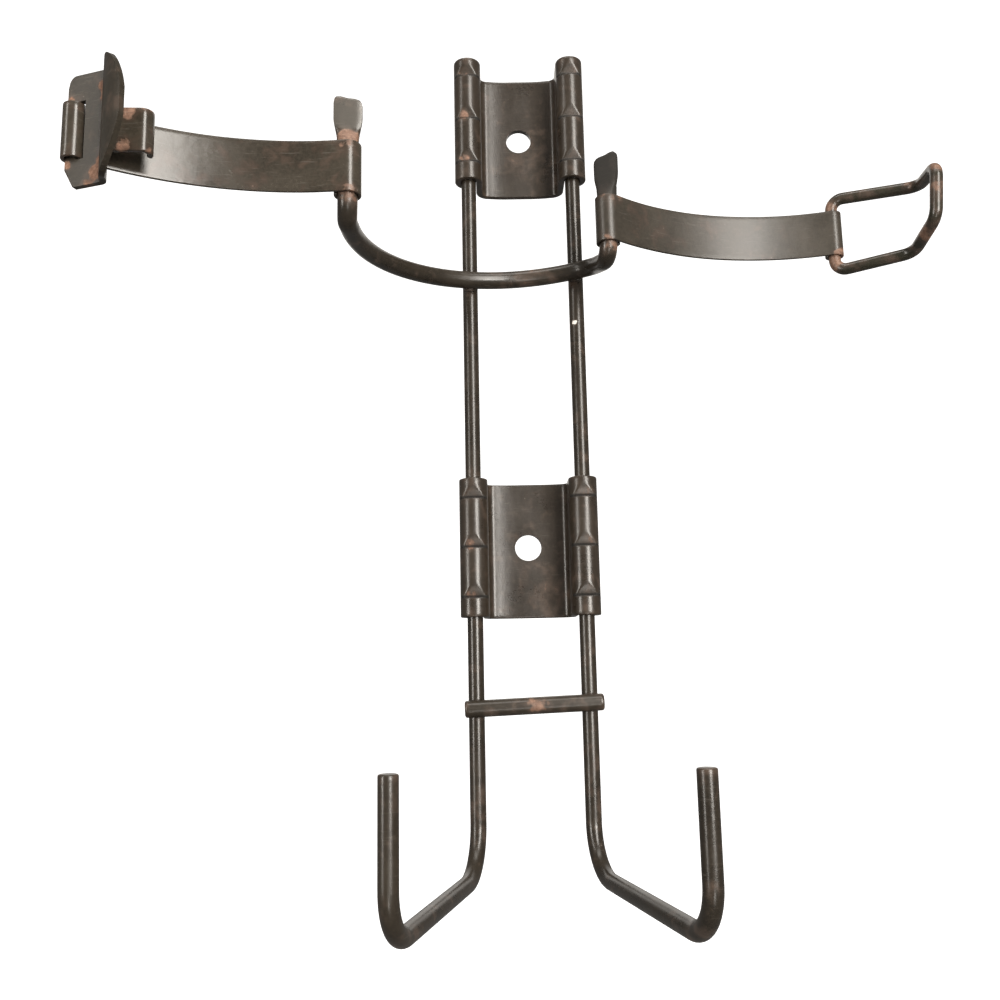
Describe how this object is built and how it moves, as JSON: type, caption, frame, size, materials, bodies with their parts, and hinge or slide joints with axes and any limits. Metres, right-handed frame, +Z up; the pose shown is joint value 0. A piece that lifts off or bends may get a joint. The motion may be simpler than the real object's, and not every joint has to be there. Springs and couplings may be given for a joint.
{
  "type": "extinguisher wall bracket",
  "caption": "Steel wall bracket: twin rods with hooked feet, rolled mounting plates, a wire cradle and hinged straps closed by a bail and lever latch.",
  "frame": {"origin": "midway between the two wall screw holes, on the plane of the wall", "axes": "+X to the right seen from the front, +Y towards the wall, +Z up along the rods"},
  "size_m": [0.3128, 0.1417, 0.3463],
  "materials": {
    "enamel": "satin baked enamel, brown-black, worn",
    "plate_enamel": "satin baked enamel, brown-black",
    "strap_enamel": "thin enamel rubbed towards bare steel",
    "worn_steel": "enamel worn through to brown rusted steel"
  },
  "bodies": {
    "frame": {"left_rod": "enamel", "right_rod": "enamel", "upper_plate": "plate_enamel", "lower_plate": "plate_enamel", "crossbar": "enamel", "crossbar_welds": "enamel", "cradle_wire": "enamel", "cradle_welds": "enamel"},
    "left_arm": {"left_strap": "strap_enamel"},
    "right_arm": {"right_strap": "strap_enamel"},
    "bail_loop": {"bail": "worn_steel"},
    "lever": {"latch_lever": "strap_enamel", "latch_hook": "worn_steel"}
  },
  "joints": [
    {"name": "left_strap_hinge", "type": "hinge", "parent": "frame", "child": "left_arm", "pos_m": [-0.0635, -0.0937, 0.0311], "axis": [0, 0, 1], "range_deg": [-70, 105]},
    {"name": "right_strap_hinge", "type": "hinge", "parent": "frame", "child": "right_arm", "pos_m": [0.033, -0.0502, 0.0311], "axis": [0, 0, 1], "range_deg": [-85, 12]},
    {"name": "bail_hinge", "type": "hinge", "parent": "right_arm", "child": "bail_loop", "pos_m": [0.12799, -0.03306, 0.0311], "axis": [0, 0, 1], "range_deg": [-110, 75]},
    {"name": "lever_hinge", "type": "hinge", "parent": "left_arm", "child": "lever", "pos_m": [-0.14826, -0.12144, 0.0311], "axis": [0, 0, 1], "range_deg": [-200, 10]}
  ]
}
